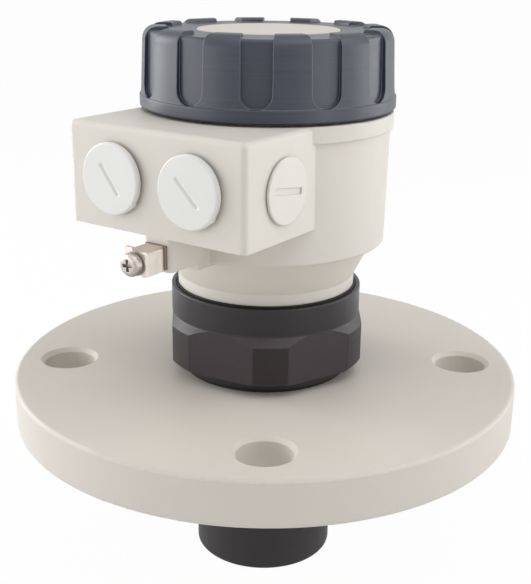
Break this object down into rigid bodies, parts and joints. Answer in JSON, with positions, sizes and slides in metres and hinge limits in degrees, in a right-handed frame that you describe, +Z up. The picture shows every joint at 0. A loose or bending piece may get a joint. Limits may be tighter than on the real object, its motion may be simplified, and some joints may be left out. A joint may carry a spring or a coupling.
{
  "type": "ultrasonic level transmitter",
  "caption": "Flanged ultrasonic level transmitter: plastic flange, hexagonal transducer body, swivelling housing with fluted screw cover, blanked cable entries and an earth terminal.",
  "frame": {"origin": "centre of the flange's underside, its sealing face", "axes": "+Z up along the flange's axis, from the sensor face to the cover; the cable-entry block looks along -Y"},
  "size_m": [0.1906, 0.1906, 0.2041],
  "materials": {
    "beige_flange": "satin, machined",
    "beige_housing": "fine moulded texture",
    "beige_disc": "smooth",
    "slate_cover": "fine moulded texture",
    "black_plastic": "satin, turned",
    "white_plug": "smooth",
    "offwhite_plug": "smooth",
    "module_plastic": "matte",
    "terminal_plastic": "matte",
    "transducer_inner": "matte",
    "potting": "matte",
    "lamp": "glossy",
    "piezo": "matte",
    "seal_rubber": "matte",
    "spring_steel": "plated",
    "plated_metal": "nickel plated",
    "dark_plate": "dull",
    "brass_insert": "turned"
  },
  "bodies": {
    "process": {"flange": "beige_flange", "transducer_housing": "black_plastic", "flange_gasket": "seal_rubber", "matching_layer": "transducer_inner", "piezo_disc": "piezo", "backing": "potting", "swivel_o_rings": "seal_rubber", "swivel_ring": "spring_steel", "neck_seal": "seal_rubber"},
    "housing": {"housing": "beige_housing", "cover_gasket": "seal_rubber", "electronics_can": "module_plastic", "module_screws": "spring_steel", "terminal_block": "terminal_plastic", "terminal_screws": "spring_steel", "display_header": "terminal_plastic", "status_lamp": "lamp", "earth_insert": "brass_insert", "earth_plate": "dark_plate"},
    "cover_lid": {"cover_disc": "beige_disc", "disc_gasket": "seal_rubber"},
    "cover_ring": {"cover_ring": "slate_cover"},
    "seal_front_left": {"gasket_front_left": "seal_rubber"},
    "plug_front_left": {"plug_front_left": "white_plug"},
    "seal_front_right": {"gasket_front_right": "seal_rubber"},
    "plug_front_right": {"plug_front_right": "white_plug"},
    "seal_side_right": {"gasket_side_right": "seal_rubber"},
    "plug_side_right": {"plug_side_right": "offwhite_plug"},
    "seal_side_left": {"gasket_side_left": "seal_rubber"},
    "plug_side_left": {"plug_side_left": "offwhite_plug"},
    "earth_clamp": {"earth_clamp": "plated_metal", "earth_washer": "plated_metal", "earth_lock_washer": "plated_metal"},
    "earth_screw": {"earth_screw": "plated_metal"}
  },
  "joints": [
    {"name": "housing_swivel", "type": "hinge", "parent": "process", "child": "housing", "pos_m": [0, 0, 0.0547], "axis": [0, 0, 1], "range_deg": [-160, 160]},
    {"name": "cover_rise", "type": "slide", "parent": "housing", "child": "cover_lid", "axis": [0, 0, 1], "range_m": [0, 0.0121]},
    {"name": "cover_turn", "type": "hinge", "parent": "cover_lid", "child": "cover_ring", "pos_m": [0, 0, 0.13], "axis": [0, 0, 1], "range_deg": [0, 1080]},
    {"name": "plug_out_front_left", "type": "slide", "parent": "housing", "child": "seal_front_left", "axis": [0, -1, 0], "range_m": [0, 0.0091]},
    {"name": "plug_turn_front_left", "type": "hinge", "parent": "seal_front_left", "child": "plug_front_left", "pos_m": [-0.0161, -0.0634, 0.09845], "axis": [0, -1, 0], "range_deg": [0, 2160]},
    {"name": "plug_out_front_right", "type": "slide", "parent": "housing", "child": "seal_front_right", "axis": [0, -1, 0], "range_m": [0, 0.0091]},
    {"name": "plug_turn_front_right", "type": "hinge", "parent": "seal_front_right", "child": "plug_front_right", "pos_m": [0.0161, -0.0634, 0.09845], "axis": [0, -1, 0], "range_deg": [0, 2160]},
    {"name": "plug_out_side_right", "type": "slide", "parent": "housing", "child": "seal_side_right", "axis": [1, 0, 0], "range_m": [0, 0.0091]},
    {"name": "plug_turn_side_right", "type": "hinge", "parent": "seal_side_right", "child": "plug_side_right", "pos_m": [0.0364, -0.042, 0.09765], "axis": [1, 0, 0], "range_deg": [0, 2160]},
    {"name": "plug_out_side_left", "type": "slide", "parent": "housing", "child": "seal_side_left", "axis": [-1, 0, 0], "range_m": [0, 0.0091]},
    {"name": "plug_turn_side_left", "type": "hinge", "parent": "seal_side_left", "child": "plug_side_left", "pos_m": [-0.0364, -0.042, 0.09765], "axis": [-1, 0, 0], "range_deg": [0, 2160]},
    {"name": "earth_clamp_out", "type": "slide", "parent": "housing", "child": "earth_clamp", "axis": [0, -1, 0], "range_m": [0, 0.0028]},
    {"name": "earth_screw_turn", "type": "hinge", "parent": "earth_clamp", "child": "earth_screw", "pos_m": [0.0012, -0.0752, 0.0752], "axis": [0, -1, 0], "range_deg": [0, 1441]}
  ],
  "couplings": [
    {"joint": "cover_rise", "follows": "cover_turn", "m_per_rad": 0.00063662},
    {"joint": "plug_out_front_left", "follows": "plug_turn_front_left", "m_per_rad": 0.00023873},
    {"joint": "plug_out_front_right", "follows": "plug_turn_front_right", "m_per_rad": 0.00023873},
    {"joint": "plug_out_side_right", "follows": "plug_turn_side_right", "m_per_rad": 0.00023873},
    {"joint": "plug_out_side_left", "follows": "plug_turn_side_left", "m_per_rad": 0.00023873},
    {"joint": "earth_screw_turn", "follows": "earth_clamp_out", "rad_per_m": 8976}
  ]
}
